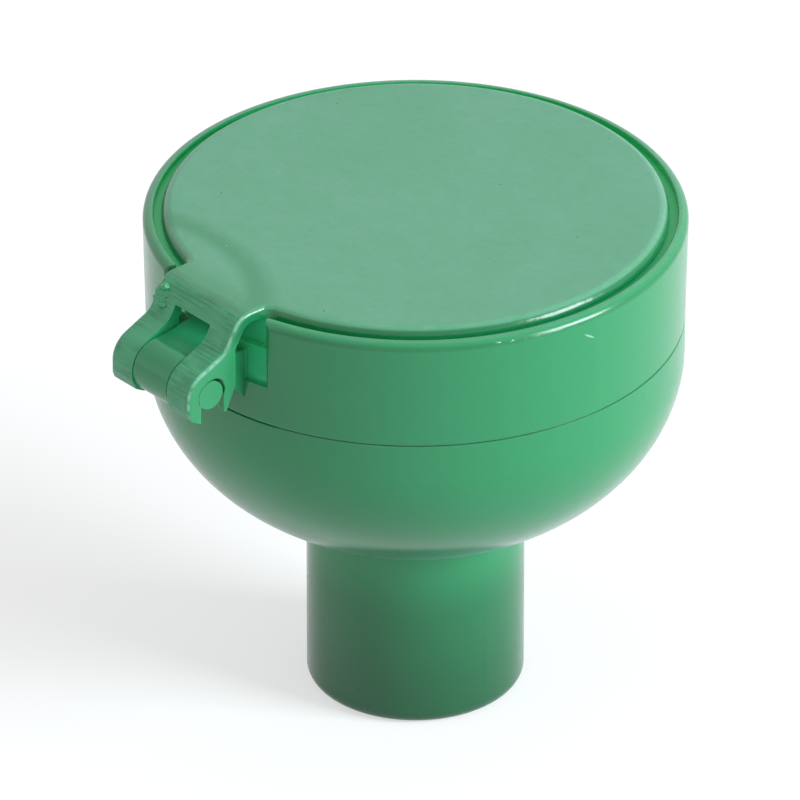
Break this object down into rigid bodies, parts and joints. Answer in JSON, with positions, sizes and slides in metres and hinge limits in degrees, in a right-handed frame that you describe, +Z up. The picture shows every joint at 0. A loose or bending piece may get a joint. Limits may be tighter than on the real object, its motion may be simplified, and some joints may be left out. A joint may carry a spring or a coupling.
{
  "type": "eyewash spray head",
  "caption": "Emergency eyewash spray head: round bowl on a pipe-threaded stem, filter and flow control inside, and a snap-hinged flip-top dust cover over a perforated spray plate.",
  "frame": {"origin": "centre of the stem's bottom face, on the axis of the inlet thread", "axes": "+Z up along the stem's axis, the way the water leaves; the dust cover's hinge is at -Y, with its pin along X"},
  "size_m": [0.0676, 0.0768, 0.0673],
  "materials": {
    "housing_plastic": "satin moulded ABS",
    "cover_plastic": "satin moulded ABS with a fine matt grain on top",
    "plate_plastic": "satin moulded ABS",
    "natural_plastic": "natural acetal",
    "filter_foam": "open-cell polyurethane foam",
    "stainless_mesh": "fine woven stainless mesh",
    "seal_rubber": "black EPDM rubber"
  },
  "bodies": {
    "root": {"bowl_body": "housing_plastic", "spray_cap": "housing_plastic", "spray_plate": "plate_plastic", "filter_support": "natural_plastic", "foam_filter": "filter_foam", "filter_screen": "stainless_mesh", "flow_control_body": "natural_plastic", "flow_control_cap": "natural_plastic", "flow_control_ring": "seal_rubber", "flow_control_o_ring": "seal_rubber", "housing_o_ring": "seal_rubber"},
    "lid": {"dust_cover": "cover_plastic"}
  },
  "joints": [
    {"name": "cover_hinge", "type": "hinge", "parent": "root", "child": "lid", "pos_m": [0, -0.03945, 0.05805], "axis": [1, 0, 0], "range_deg": [0, 215]}
  ]
}
